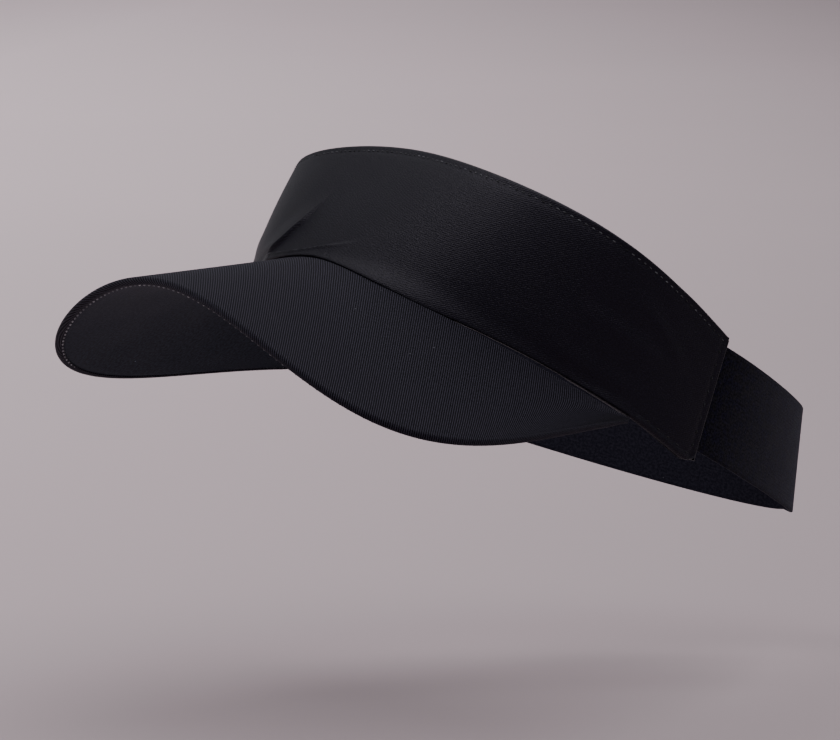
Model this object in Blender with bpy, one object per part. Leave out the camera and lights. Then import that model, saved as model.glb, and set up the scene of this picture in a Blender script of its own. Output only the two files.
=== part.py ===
# Sun visor: an open crown band with a curved bill in front and an elastic strap behind.
# The wearer faces -Y, the wearer's left is +X, and the origin is the middle of the head opening.
# Points are worked out in the band's own level frame in millimetres, then the whole visor is
# tipped back about X by WEAR_TILT, as it sits on an upright head.
import math

import bmesh
import bpy
from mathutils import Vector

for old in list(bpy.data.objects):
    bpy.data.objects.remove(old, do_unlink=True)

MM = 0.001

# How the visor sits
WEAR_TILT = 20.9

# Crown band, in plan and in height
HALF_WIDTH = 80.2
FRONT_DEPTH = 86.2
ROUNDNESS_LOW = 1.96
ROUNDNESS_HIGH = 3.11
ROUNDNESS_HIGH_AT = 60.0
END_ANGLE = 98.8
LEAN_FRONT = 14.1
LEAN_SIDE = -2.9
LEAN_END = 0.95
LEAN_END_FROM = 60.0
FRONT_CURVE = 9.5
FRONT_CURVE_AT = 60.0
TOP_FRONT = 57.0
TOP_END = 28.6
TOP_BOW = -0.02

# Seam of the bill, and the hem behind it
SEAM_CORNER_ANGLE = 81.0
SEAM_FRONT = 17.4
SEAM_CORNER = -3.5
SEAM_POWER = 1.05
SEAM_ROUND = 8.0
HEM_END = -10.2

# Bill edge: handles of one smooth curve from the corner of the seam to the middle of the front
BILL_CORNER_PULL = (22.0, -54.7, -14.8)
BILL_FLANK = (104.4, -108.7, -60.6)
BILL_FRONT_X = 61.2
BILL_FRONT_Y = -132.2
BILL_FRONT_Z = -5.0
BILL_TIP_TRIM = 0.05

# Elastic strap
STRAP_WIDTH = 31.5
STRAP_THICK = 1.0
STRAP_BACK_Y = 116.7
STRAP_TOP_AT_END = 26.5
STRAP_LOW_AT_BACK = -3.7
STRAP_SAG = 2.0
STRAP_END_PULL = 25.6
STRAP_BACK_PULL = 15.6
STRAP_BACK_LEAN = 15.3
STRAP_SPLIT = 0.55
STRAP_TAB_ANGLE = 6.0
STRAP_SPLIT_GAP = 0.006

# Cloth layers, outermost first: depth of each layer's middle below the outer face
PANEL_THICK = 0.5
PANEL_DEPTH = 0.25
TURN_IN_DEPTH = 1.05
TURN_IN_HEIGHT = 6.0
TOP_HEM_DEPTH = 1.9
TOP_HEM_HEIGHT = 8.0
INTERLINING_THICK = 0.4
INTERLINING_TOP_DROP = 1.8
LINING_THICK = 0.4
LINING_DEPTH = 1.9
LINING_END_INSET = 0.5
POCKET_DEPTH = 2.15
POCKET_LINING_DEPTH = 3.3
POCKET_ANGLE = 9.0
END_TURN_START = 0.8
END_TURN_SHORT = 1.0
TAPE_THICK = 0.3
TAPE_DEPTH = 2.6
TAPE_HEIGHT = 7.0
TAPE_END_INSET = 2.0
SWEATBAND_THICK = 1.5
SWEATBAND_DEPTH = 3.9
SWEATBAND_HEIGHT = 24.0
SWEATBAND_ANGLE = 80.0
BINDING_THICK = 0.3
BINDING_RADIUS = 1.2
BINDING_LEG = 5.0

# Bill layers: depth of each layer's middle below the upper face, and how far each stops from the seam
BILL_FULL_WIDTH = 14.0
UPPER_SHORT = 0.6
UNDER_SHORT = 0.9
BOARD_SHORT = 2.4
BOARD_LEG = 0.3
COVER_THICK = 0.4
UPPER_COVER_DEPTH = 0.2
BOARD_THICK = 1.0
BOARD_DEPTH = 1.2
UNDER_COVER_DEPTH = 2.2
RIM_RADIUS = 1.0
RIM_UPPER_LEG = 1.0
RIM_UNDER_LEG = 1.5

# Sewing thread
THREAD_RADIUS = 0.2
THREAD_RISE = 0.5
TOP_STITCH_DROP = 1.5
END_STITCH_INSET = 2.0
HEM_STITCH_RISE = 2.2
BILL_STITCH_INSET = 2.7
SWEATBAND_STITCH_DROP = 3.0
ROW_END_INSET = 1.0
CORNER_INSET = 1.5
SWEATBAND_ROW_INSET = 2.0

GAP = 0.3


def mix(a, b, t):
    return a + (b - a) * t


def ease(t):
    t = min(max(t, 0.0), 1.0)
    return t * t * (3.0 - 2.0 * t)


# ---------------------------------------------------------------- crown surface
def crown_face(angle, z):
    """A point on the outer face of the band, angle 0 at the front and + to the wearer's left.

    Each level of the band is a superellipse, rounder at the bottom and flatter-fronted at the top.
    """
    a = math.radians(angle)
    end = ease((abs(angle) - LEAN_END_FROM) / (END_ANGLE - LEAN_END_FROM))
    side_slope = mix(math.tan(math.radians(LEAN_SIDE)), math.tan(math.radians(LEAN_END)), end)
    across = HALF_WIDTH - z * side_slope
    ahead = FRONT_DEPTH - z * math.tan(math.radians(LEAN_FRONT)) - FRONT_CURVE * (z / FRONT_CURVE_AT) ** 2
    power = max(mix(ROUNDNESS_LOW, ROUNDNESS_HIGH, z / ROUNDNESS_HIGH_AT), 2.0)
    reach = (abs(math.sin(a) / across) ** power + abs(math.cos(a) / ahead) ** power) ** (-1.0 / power)
    return Vector((reach * math.sin(a), -reach * math.cos(a), z))


def crown_inward(angle, z):
    """The unit normal of the band, pointing at the head."""
    around = crown_face(angle + 0.5, z) - crown_face(angle - 0.5, z)
    up = crown_face(angle, z + 0.5) - crown_face(angle, z - 0.5)
    return up.cross(around).normalized()


def crown_point(angle, z, depth):
    return crown_face(angle, z) + crown_inward(angle, z) * depth


def top_at(angle):
    s = (angle / END_ANGLE) ** 2
    return mix(TOP_FRONT, TOP_END, (1.0 - TOP_BOW) * s + TOP_BOW * s * s)


def low_at(angle):
    """Height of the band's lower edge: the bill seam, then the hem behind it."""
    a = abs(angle)
    if a > SEAM_CORNER_ANGLE:
        return mix(SEAM_CORNER, HEM_END, (a - SEAM_CORNER_ANGLE) / (END_ANGLE - SEAM_CORNER_ANGLE))
    half = SEAM_POWER / 2.0
    start = SEAM_ROUND ** SEAM_POWER
    here = (a * a + SEAM_ROUND ** 2) ** half - start
    corner = (SEAM_CORNER_ANGLE ** 2 + SEAM_ROUND ** 2) ** half - start
    return mix(SEAM_FRONT, SEAM_CORNER, here / corner)


def in_pocket(angle):
    """0 along the band, 1 near its ends, where the elastic goes in between the layers."""
    return ease((abs(angle) - (END_ANGLE - 2.0 * POCKET_ANGLE)) / (0.9 * POCKET_ANGLE))


# ---------------------------------------------------------------- bill surface
def bill_edge(u):
    """The bill's outer edge, u -1 at the right corner, 0 in the middle, 1 at the left corner."""
    t = 1.0 - abs(u)
    corner = crown_face(SEAM_CORNER_ANGLE, SEAM_CORNER)
    handles = (
        corner,
        corner + Vector(BILL_CORNER_PULL),
        Vector(BILL_FLANK),
        Vector((BILL_FRONT_X, BILL_FRONT_Y, BILL_FRONT_Z)),
        Vector((0.0, BILL_FRONT_Y, BILL_FRONT_Z)),
    )
    point = Vector((0.0, 0.0, 0.0))
    for i, handle in enumerate(handles):
        point += handle * (math.comb(4, i) * (1.0 - t) ** (4 - i) * t ** i)
    if u < 0.0:
        point.x = -point.x
    return point


def bill_seam(u):
    angle = SEAM_CORNER_ANGLE * u
    return crown_face(angle, low_at(angle))


def bill_face(u, out):
    """A point on the bill's upper face, out mm from the edge along the straight to the seam."""
    edge = bill_edge(u)
    across = bill_seam(u) - edge
    return edge + across.normalized() * out


def bill_down(u, out):
    step = 0.01
    along = bill_face(u + step, out) - bill_face(u - step, out)
    across = bill_seam(u) - bill_edge(u)
    return across.cross(along).normalized()


def bill_point(u, out, depth):
    down = bill_down(u, out)
    if down.z > 0.0:
        down = -down
    return bill_face(u, out) + down * depth


def bill_width(u):
    return (bill_seam(u) - bill_edge(u)).length


# ---------------------------------------------------------------- strap surface
def strap_point(s, w, side):
    """s -1 in the pocket, 0 at the band end, 1 at the middle of the back; w 0 low to 1 high."""
    low = mix(STRAP_TOP_AT_END - STRAP_WIDTH, STRAP_LOW_AT_BACK, max(s, 0.0))
    low -= STRAP_SAG * 4.0 * max(s, 0.0) * (1.0 - s)
    z = low + w * STRAP_WIDTH
    if s < 0.0:
        point = crown_point(END_ANGLE + s * STRAP_TAB_ANGLE, z, POCKET_DEPTH)
    else:
        a = math.radians(END_ANGLE)
        heading = Vector((HALF_WIDTH * math.cos(a), FRONT_DEPTH * math.sin(a), 0.0)).normalized()
        start = crown_point(END_ANGLE, z, POCKET_DEPTH)
        back = Vector((0.0, STRAP_BACK_Y - (z - low) * math.tan(math.radians(STRAP_BACK_LEAN)), z))
        pull = Vector((STRAP_BACK_PULL, 0.0, 0.0))
        point = Vector((0.0, 0.0, 0.0))
        for i, handle in enumerate((start, start + heading * STRAP_END_PULL, back + pull, back)):
            point += handle * (math.comb(3, i) * (1.0 - s) ** (3 - i) * s ** i)
    return Vector((point.x * side, point.y, z))


# ---------------------------------------------------------------- modelling helpers
head = bpy.data.objects.new("head_opening", None)
head.empty_display_size = 0.02
head.rotation_euler.x = -math.radians(WEAR_TILT)
bpy.context.scene.collection.objects.link(head)


def cloth(name, colour, roughness, metallic=0.0):
    material = bpy.data.materials.new(name)
    material.use_nodes = True
    shader = material.node_tree.nodes["Principled BSDF"]
    shader.inputs["Base Color"].default_value = (*colour, 1.0)
    shader.inputs["Roughness"].default_value = roughness
    shader.inputs["Metallic"].default_value = metallic
    material.diffuse_color = (*colour, 1.0)
    return material


def place(name, data, material, origin):
    piece = bpy.data.objects.new(name, data)
    piece.parent = head
    piece.location = origin * MM
    data.materials.append(material)
    bpy.context.scene.collection.objects.link(piece)
    return piece


def sheet(name, columns, rows, thick, at, material, origin=Vector((0.0, 0.0, 0.0))):
    """A cloth layer: a grid laid on the surface at(u, w) and thickened to both sides of it."""
    bm = bmesh.new()
    bmesh.ops.create_grid(bm, x_segments=columns, y_segments=rows, size=1.0)
    for vert in bm.verts:
        u = (vert.co.x + 1.0) / 2.0
        w = (vert.co.y + 1.0) / 2.0
        vert.co = (at(u, w) - origin) * MM
    data = bpy.data.meshes.new(name)
    bm.to_mesh(data)
    bm.free()
    data.shade_smooth()
    piece = place(name, data, material, origin)
    solid = piece.modifiers.new("thickness", "SOLIDIFY")
    solid.thickness = thick * MM
    solid.offset = 0.0
    solid.use_even_offset = True
    return piece


def thread(name, points, material):
    """One sewn row, as an unbroken round thread."""
    curve = bpy.data.curves.new(name, "CURVE")
    curve.dimensions = "3D"
    spline = curve.splines.new("POLY")
    spline.points.add(len(points) - 1)
    for knot, point in zip(spline.points, points):
        knot.co = (*(point * MM), 1.0)
    curve.bevel_depth = THREAD_RADIUS * MM
    curve.bevel_resolution = 0
    curve.use_fill_caps = True
    return place(name, curve, material, Vector((0.0, 0.0, 0.0)))


def fold(centre, radius, start, end, steps):
    """Points round a turned edge, as (depth, height) pairs."""
    turn = []
    for i in range(steps + 1):
        a = math.radians(mix(start, end, i / steps))
        turn.append((centre[0] + radius * math.cos(a), centre[1] + radius * math.sin(a)))
    return turn


satin = cloth("crown_satin", (0.008, 0.008, 0.012), 0.55)
plain = cloth("lining_cloth", (0.012, 0.012, 0.015), 0.8)
stiff = cloth("interlining_felt", (0.6, 0.6, 0.58), 0.9)
terry = cloth("sweatband_terry", (0.014, 0.014, 0.016), 0.95)
tape = cloth("binding_tape", (0.01, 0.01, 0.012), 0.7)
twill = cloth("bill_twill", (0.011, 0.011, 0.014), 0.65)
board = cloth("bill_board_plastic", (0.75, 0.76, 0.76), 0.45)
elastic = cloth("strap_elastic", (0.012, 0.012, 0.02), 0.75)
dark_thread = cloth("dark_thread", (0.01, 0.01, 0.013), 0.6)
pale_thread = cloth("pale_thread", (0.3, 0.3, 0.33), 0.6)

# ---------------------------------------------------------------- crown layers
turn_radius = (TURN_IN_DEPTH - PANEL_DEPTH) / 2.0


def panel_path(angle):
    """Section of the outer panel: up from its turned-in lower edge and over the top hem."""
    low = low_at(angle)
    top = top_at(angle)
    turn = low + turn_radius + PANEL_THICK / 2.0 + GAP
    path = [(TURN_IN_DEPTH, low + TURN_IN_HEIGHT)]
    path += fold((PANEL_DEPTH + turn_radius, turn), turn_radius, 0.0, -180.0, 4)
    hem_depth = mix(TOP_HEM_DEPTH, TURN_IN_DEPTH, in_pocket(angle))
    hem_radius = (hem_depth - PANEL_DEPTH) / 2.0
    rise = (top - hem_radius) - turn
    for i in range(1, 5):
        path.append((PANEL_DEPTH, turn + rise * i / 5.0))
    path += fold((PANEL_DEPTH + hem_radius, top - hem_radius), hem_radius, 180.0, 0.0, 4)
    path.append((hem_depth, top - TOP_HEM_HEIGHT))
    return path


PANEL_ROWS = 15


def panel_at(u, w):
    angle = mix(-END_ANGLE, END_ANGLE, u)
    depth, z = panel_path(angle)[round(w * PANEL_ROWS)]
    return crown_point(angle, z, depth)


sheet("crown_outer_panel", 54, PANEL_ROWS, PANEL_THICK, panel_at, satin)


def interlining_at(u, w):
    reach = END_ANGLE - 2.0 * POCKET_ANGLE
    angle = mix(-reach, reach, u)
    low = low_at(angle) + TURN_IN_HEIGHT + GAP
    return crown_point(angle, mix(low, top_at(angle) - INTERLINING_TOP_DROP, w), TURN_IN_DEPTH)


sheet("crown_interlining", 48, 5, INTERLINING_THICK, interlining_at, stiff)


def lining_at(u, w):
    angle = mix(-END_ANGLE + LINING_END_INSET, END_ANGLE - LINING_END_INSET, u)
    low = low_at(angle) + GAP
    high = top_at(angle) - TOP_HEM_HEIGHT - 2.0 * GAP
    depth = mix(LINING_DEPTH, POCKET_LINING_DEPTH, in_pocket(angle))
    return crown_point(angle, mix(low, high, w), depth)


sheet("crown_lining", 54, 5, LINING_THICK, lining_at, plain)


def tape_at(u, w):
    reach = SWEATBAND_ANGLE - TAPE_END_INSET
    angle = mix(-reach, reach, u)
    return crown_point(angle, low_at(angle) + GAP + TAPE_HEIGHT * w, TAPE_DEPTH)


sheet("bill_seam_tape", 40, 2, TAPE_THICK, tape_at, tape)


def sweatband_top(angle):
    return low_at(angle) + SWEATBAND_HEIGHT


def sweatband_at(u, w):
    angle = mix(-SWEATBAND_ANGLE, SWEATBAND_ANGLE, u)
    low = low_at(angle) + GAP
    return crown_point(angle, mix(low, sweatband_top(angle), w), SWEATBAND_DEPTH)


sheet("sweatband", 44, 4, SWEATBAND_THICK, sweatband_at, terry)

BINDING_ROWS = 6


def binding_at(u, w):
    angle = mix(-SWEATBAND_ANGLE, SWEATBAND_ANGLE, u)
    centre = (SWEATBAND_DEPTH, sweatband_top(angle) + GAP)
    path = [(centre[0] - BINDING_RADIUS, centre[1] - BINDING_LEG)]
    path += fold(centre, BINDING_RADIUS, 180.0, 0.0, BINDING_ROWS - 2)
    path.append((centre[0] + BINDING_RADIUS, centre[1] - BINDING_LEG))
    depth, z = path[round(w * BINDING_ROWS)]
    return crown_point(angle, z, depth)


sheet("sweatband_binding", 44, BINDING_ROWS, BINDING_THICK, binding_at, tape)

for side, word in ((1, "left"), (-1, "right")):

    def end_at(u, w, side=side):
        angle = side * (END_ANGLE - POCKET_ANGLE + END_TURN_START + (POCKET_ANGLE - END_TURN_SHORT) * u)
        low = low_at(angle) + TURN_IN_HEIGHT + GAP
        high = top_at(angle) - TOP_HEM_HEIGHT - 2.0 * GAP
        return crown_point(angle, mix(low, high, w), TURN_IN_DEPTH)

    sheet("crown_end_turn_in_" + word, 4, 3, INTERLINING_THICK, end_at, satin)

# ---------------------------------------------------------------- bill
TIP = 1.0 - BILL_TIP_TRIM


def fit_at(u):
    """Near the corners the bill narrows, and its turned edges narrow with it."""
    return min(1.0, bill_width(u) / BILL_FULL_WIDTH)


def bill_layer(name, rows, thick, depth, leg, seam_gap, material):
    """A bill layer from past the rim's leg to seam_gap mm short of the seam."""

    def at(u, w):
        place_u = mix(-TIP, TIP, u)
        fit = fit_at(place_u)
        near = RIM_RADIUS + COVER_THICK / 2.0 + leg * fit + GAP
        far = bill_width(place_u) - seam_gap * fit
        return bill_point(place_u, mix(near, far, w), depth)

    return sheet(name, BILL_COLUMNS, rows, thick, at, material)


BILL_COLUMNS = 50
BILL_ROWS = 6
bill_layer("bill_upper_cover", BILL_ROWS, COVER_THICK, UPPER_COVER_DEPTH, RIM_UPPER_LEG, UPPER_SHORT, twill)
bill_layer("bill_board", BILL_ROWS, BOARD_THICK, BOARD_DEPTH, BOARD_LEG, BOARD_SHORT, board)
bill_layer("bill_under_cover", BILL_ROWS, COVER_THICK, UNDER_COVER_DEPTH, RIM_UNDER_LEG, UNDER_SHORT, plain)

RIM_ROWS = 8


def rim_at(u, w):
    place_u = mix(-TIP, TIP, u)
    fit = fit_at(place_u)
    centre = (RIM_RADIUS + COVER_THICK / 2.0, UPPER_COVER_DEPTH + RIM_RADIUS)
    path = [(centre[0] + RIM_UPPER_LEG * fit, UPPER_COVER_DEPTH)]
    path += fold(centre, RIM_RADIUS, -90.0, -270.0, RIM_ROWS - 2)
    path.append((centre[0] + RIM_UNDER_LEG * fit, UNDER_COVER_DEPTH))
    out, depth = path[round(w * RIM_ROWS)]
    return bill_point(place_u, out, depth)


sheet("bill_rim", BILL_COLUMNS, RIM_ROWS, COVER_THICK, rim_at, twill)

# ---------------------------------------------------------------- elastic strap
split = STRAP_SPLIT
seat = strap_point(1.0, 0.5, 1)


def strap_back_at(u, w):
    run = 2.0 * u - 1.0
    side = 1 if run >= 0.0 else -1
    return strap_point(1.0 - abs(run) * (1.0 - split), w, side)


sheet("strap_back", 28, 3, STRAP_THICK, strap_back_at, elastic, seat)

for side, word in ((1, "left"), (-1, "right")):

    def leg_at(u, w, side=side):
        s = mix(-1.0, split - STRAP_SPLIT_GAP, u)
        return strap_point(s, w, side)

    sheet("strap_leg_" + word, 18, 3, STRAP_THICK, leg_at, elastic)

# ---------------------------------------------------------------- sewing
reach = END_ANGLE - ROW_END_INSET
row = [mix(-reach, reach, i / 64.0) for i in range(65)]
line = [crown_point(a, top_at(a) - TOP_STITCH_DROP, -THREAD_RISE) for a in row]
thread("thread_top_edge", line, dark_thread)

row = [mix(-TIP, TIP, (i + 1) / 50.0) for i in range(49)]
below = UNDER_COVER_DEPTH + COVER_THICK / 2.0 + THREAD_RISE
line = [bill_point(u, BILL_STITCH_INSET, below) for u in row]
thread("thread_bill_edge", line, pale_thread)

reach = SWEATBAND_ANGLE - SWEATBAND_ROW_INSET
row = [mix(-reach, reach, i / 44.0) for i in range(45)]
inner = SWEATBAND_DEPTH + BINDING_RADIUS + BINDING_THICK / 2.0 + THREAD_RISE
line = [crown_point(a, sweatband_top(a) - SWEATBAND_STITCH_DROP, inner) for a in row]
thread("thread_sweatband", line, dark_thread)

for side, word in ((1, "left"), (-1, "right")):
    end = side * (END_ANGLE - END_STITCH_INSET)
    low = low_at(end) + HEM_STITCH_RISE + ROW_END_INSET
    top = top_at(end) - TOP_STITCH_DROP - CORNER_INSET
    column = [crown_point(end, mix(low, top, i / 10.0), -THREAD_RISE) for i in range(11)]
    thread("thread_end_" + word, column, dark_thread)
    first = SEAM_CORNER_ANGLE + CORNER_INSET
    last = END_ANGLE - ROW_END_INSET
    hem = [side * mix(first, last, i / 10.0) for i in range(11)]
    line = [crown_point(a, low_at(a) + HEM_STITCH_RISE, -THREAD_RISE) for a in hem]
    thread("thread_hem_" + word, line, dark_thread)
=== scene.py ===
import math

import bmesh
import bpy
from mathutils import Matrix, Vector, noise


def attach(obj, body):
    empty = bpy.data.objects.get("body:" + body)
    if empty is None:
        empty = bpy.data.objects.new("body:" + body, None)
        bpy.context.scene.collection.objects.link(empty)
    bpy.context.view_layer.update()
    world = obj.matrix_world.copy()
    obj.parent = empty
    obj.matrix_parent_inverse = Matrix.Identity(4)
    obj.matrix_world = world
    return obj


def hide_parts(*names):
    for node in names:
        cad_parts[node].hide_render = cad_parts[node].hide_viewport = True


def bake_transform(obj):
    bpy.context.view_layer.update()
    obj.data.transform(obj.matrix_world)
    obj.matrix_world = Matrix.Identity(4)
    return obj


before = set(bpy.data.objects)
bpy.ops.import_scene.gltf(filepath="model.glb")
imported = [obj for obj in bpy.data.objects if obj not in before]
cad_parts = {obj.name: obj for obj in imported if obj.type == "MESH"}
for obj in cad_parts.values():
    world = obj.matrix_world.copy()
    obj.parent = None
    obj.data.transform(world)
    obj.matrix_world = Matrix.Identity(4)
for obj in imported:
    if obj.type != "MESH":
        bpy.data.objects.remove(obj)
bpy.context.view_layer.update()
print("frame loaded")

# The shapes below are worked out in the band's own level frame, in millimetres and degrees.
# toRow() tips them back as the visor sits on a head and turns them to metres.
band = {
    "tilt": 20.9,
    "halfWidth": 80.2,
    "frontDepth": 86.2,
    "roundLow": 1.96,
    "roundHigh": 3.11,
    "roundHighAt": 60.0,
    "endAngle": 98.8,
    "leanFront": 14.1,
    "leanSide": -2.9,
    "leanEnd": 0.95,
    "leanEndFrom": 60.0,
    "frontCurve": 9.5,
    "topFront": 57.0,
    "topEnd": 28.6,
    "topBow": -0.02,
    "seamCornerAngle": 81.0,
    "seamFront": 17.4,
    "seamCorner": -3.5,
    "seamPower": 1.05,
    "seamRound": 8.0,
    "hemEnd": -10.2,
    "endCorner": 3.2,  # radius of the lower corner of each end, in degrees of the band
    "pocketAngle": 9.0,
    "gap": 0.3,
}
tipBack = Matrix.Rotation(-math.radians(band["tilt"]), 3, "X")


def toRow(point):
    return (tipBack @ point) * 0.001


def mix(a, b, t):
    return a + (b - a) * t


def ease(t):
    t = min(max(t, 0.0), 1.0)
    return t * t * (3.0 - 2.0 * t)


def bell(x, width):
    return math.exp(-((x / width) ** 2))


def along(table, x):
    # reads a line of (x, value) pairs
    if x <= table[0][0]:
        return table[0][1]
    for (x0, v0), (x1, v1) in zip(table, table[1:]):
        if x <= x1:
            return mix(v0, v1, (x - x0) / (x1 - x0))
    return table[-1][1]


# surfaces of the band, the bill and the strap
def crownFace(angle, z):
    a = math.radians(angle)
    endSpan = band["endAngle"] - band["leanEndFrom"]
    end = ease((abs(angle) - band["leanEndFrom"]) / endSpan)
    sideSlope = mix(math.tan(math.radians(band["leanSide"])), math.tan(math.radians(band["leanEnd"])), end)
    across = band["halfWidth"] - z * sideSlope
    ahead = band["frontDepth"] - z * math.tan(math.radians(band["leanFront"]))
    ahead -= band["frontCurve"] * (z / 60.0) ** 2
    power = max(mix(band["roundLow"], band["roundHigh"], z / band["roundHighAt"]), 2.0)
    reach = (abs(math.sin(a) / across) ** power + abs(math.cos(a) / ahead) ** power) ** (-1.0 / power)
    return Vector((reach * math.sin(a), -reach * math.cos(a), z))


def crownInward(angle, z):
    around = crownFace(angle + 0.5, z) - crownFace(angle - 0.5, z)
    up = crownFace(angle, z + 0.5) - crownFace(angle, z - 0.5)
    return up.cross(around).normalized()


def topAt(angle):
    s = (angle / band["endAngle"]) ** 2
    return mix(band["topFront"], band["topEnd"], (1.0 - band["topBow"]) * s + band["topBow"] * s * s)


def lowAt(angle):
    a = abs(angle)
    corner = band["seamCornerAngle"]
    if a > corner:
        return mix(band["seamCorner"], band["hemEnd"], (a - corner) / (band["endAngle"] - corner))
    half = band["seamPower"] / 2.0
    start = band["seamRound"] ** band["seamPower"]
    here = (a * a + band["seamRound"] ** 2) ** half - start
    whole = (corner ** 2 + band["seamRound"] ** 2) ** half - start
    return mix(band["seamFront"], band["seamCorner"], here / whole)


def inPocket(angle):
    start = band["endAngle"] - 2.0 * band["pocketAngle"]
    return ease((abs(angle) - start) / (0.9 * band["pocketAngle"]))


# Pulls in the band's cloth. Each line runs through (angle, height) points.
pulls = {
    "seamFold": [(-22.0, 15.8), (-10.4, 17.2), (-3.2, 19.1), (4.8, 21.8), (9.2, 23.6), (17.0, 27.5)],
    "seamFoldLift": 0.95,
    "riseFold": [(16.3, -21.2), (22.3, -16.9), (28.4, -14.0), (36.0, -12.0)],  # (height, angle)
    "riseFoldLift": 0.95,
    "footDrop": 0.15,
    "settle": 0.40,  # how much further the foot lies down in front, round settleAt
    "settleAt": -5.0,
    "settleReach": 18.0,
    "flareLift": [(-30.0, 0.0), (-8.0, 0.3), (2.0, 0.5), (10.0, 0.9), (20.0, 1.5), (32.0, 1.4),
                  (44.0, 0.8), (60.0, 0.45), (78.0, 0.35)],
    "flareHeight": [(-20.0, 1.6), (2.0, 1.8), (10.0, 2.6), (20.0, 4.2), (32.0, 5.0), (44.0, 4.0),
                    (60.0, 2.6), (78.0, 2.2)],
    "streaks": [  # start, end, width, lift
        ((63.0, 21.5), (83.0, 14.6), 2.6, 0.30),
        ((77.0, 26.5), (88.0, 16.5), 2.0, 0.26),
        ((58.0, 9.0), (80.0, 3.2), 2.4, 0.22),
        ((70.0, 31.0), (90.0, 21.0), 2.6, 0.16),
        ((-48.0, 16.0), (-76.0, 5.5), 2.8, 0.42),
        ((-62.0, 24.0), (-84.0, 12.0), 2.4, 0.32),
        ((-36.0, 22.0), (-58.0, 15.0), 3.4, 0.35),
    ],
}


feet = {}


def footDrop(angle):
    # where the cloth flares out over the bill, its foot follows the bill down
    key = round(abs(angle), 1) * (1 if angle >= 0.0 else -1)
    if key not in feet:
        _, across, _ = billRib(min(max(key / band["seamCornerAngle"], -1.0), 1.0) * 0.98)
        fall = min(across.z / math.hypot(across.x, across.y), 0.9)
        close = 1.0 - ease((abs(key) - 30.0) / 35.0)
        settle = pulls["settle"] * bell(key - pulls["settleAt"], pulls["settleReach"])
        flare = along(pulls["flareLift"], key) * max(fall, 0.0)
        feet[key] = close * (pulls["footDrop"] + settle + flare)
    return feet[key]


def crownLift(angle, z):
    # how far the cloth stands out from the smooth band, in mm
    above = z - lowAt(angle) + footDrop(angle)
    lift = 0.0
    foldLine = along(pulls["seamFold"], angle)
    if -24.0 < angle < 20.0:
        d = z - foldLine
        strength = ease((angle + 22.5) / 5.0) * (1.0 - ease((angle + 1.0) / 13.0))
        drop = 5.5 if d < 0.0 else 0.6
        lift += strength * (pulls["seamFoldLift"] * bell(d, drop) + 0.28 * bell(d, 0.5))
    if z < 42.0:
        d = angle - along(pulls["riseFold"], z)
        strength = ease((z - 15.5) / 4.0) * (1.0 - ease((z - 24.0) / 16.0))
        drop = 0.75 if d > 0.0 else 5.5
        lift += strength * (pulls["riseFoldLift"] * bell(d, drop) + 0.22 * bell(d, 0.5))
    lift += along(pulls["flareLift"], angle) * bell(above, along(pulls["flareHeight"], angle))
    for start, end, width, height in pulls["streaks"]:
        run = ((end[0] - start[0]) * 1.4, end[1] - start[1])
        rel = ((angle - start[0]) * 1.4, z - start[1])
        length = math.hypot(*run)
        t = (run[0] * rel[0] + run[1] * rel[1]) / length ** 2
        if -0.2 < t < 1.2:
            across = (run[0] * rel[1] - run[1] * rel[0]) / length
            fade = ease((t + 0.2) / 0.5) * (1.0 - ease((t - 0.75) / 0.45))
            lift += height * fade * (bell(across, width) - 0.5 * bell(across - 1.9 * width, width))
    place = Vector((angle * 0.035, z * 0.05, 2.7))
    lift += 0.32 * noise.noise(place) * ease(above / 9.0) * ease((topAt(angle) - z) / 7.0)
    # the seam gathers the cloth a little along its foot
    gather = (noise.noise(Vector((angle * 0.42, 0.0, 7.1)))
              + 0.5 * noise.noise(Vector((angle * 1.3, 0.0, 3.3))))
    lift += 0.10 * gather * bell(above - 1.6, 1.8)
    return lift * ease((above + 0.3) / 1.0)


def crownPoint(angle, z, depth):
    return crownFace(angle, z) + crownInward(angle, z) * (depth - crownLift(angle, z))


bill = {
    "cornerPull": Vector((22.0, -54.7, -14.8)),
    "flank": Vector((104.4, -108.7, -60.6)),
    "frontX": 61.2,
    "frontY": -132.2,
    "frontZ": -5.0,
    "tip": 0.985,  # how near the corners the cloth comes
    "coverDepth": 0.2,
    "coverThick": 0.4,
    "rimRadius": 1.0,
    "rimLeg": 1.1,
    "grooveIn": 1.9,
    "grooveDepth": 0.10,
}


def billEdge(u):
    t = 1.0 - abs(u)
    corner = crownFace(band["seamCornerAngle"], band["seamCorner"])
    front = Vector((bill["frontX"], bill["frontY"], bill["frontZ"]))
    middle = Vector((0.0, bill["frontY"], bill["frontZ"]))
    point = Vector((0.0, 0.0, 0.0))
    for i, handle in enumerate((corner, corner + bill["cornerPull"], bill["flank"], front, middle)):
        point += handle * (math.comb(4, i) * (1.0 - t) ** (4 - i) * t ** i)
    if u < 0.0:
        point.x = -point.x
    return point


def billSeam(u):
    angle = band["seamCornerAngle"] * u
    return crownFace(angle, lowAt(angle))


def billRib(u):
    # one straight line of the bill: its edge point, its way to the seam, its width and its way down
    edge = billEdge(u)
    across = billSeam(u) - edge
    width = across.length
    across.normalize()
    return edge, across, width


def billFrame(u):
    edge, across, width = billRib(u)
    step = 0.01
    edgeA, acrossA, _ = billRib(u + step)
    edgeB, acrossB, _ = billRib(u - step)
    return edge, across, width, edgeA - edgeB, acrossA - acrossB


def billPointIn(ribFrame, out, depth):
    edge, across, _, edgeStep, acrossStep = ribFrame
    down = across.cross(edgeStep + acrossStep * out).normalized()
    if down.z > 0.0:
        down = -down
    return edge + across * out + down * depth


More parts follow.
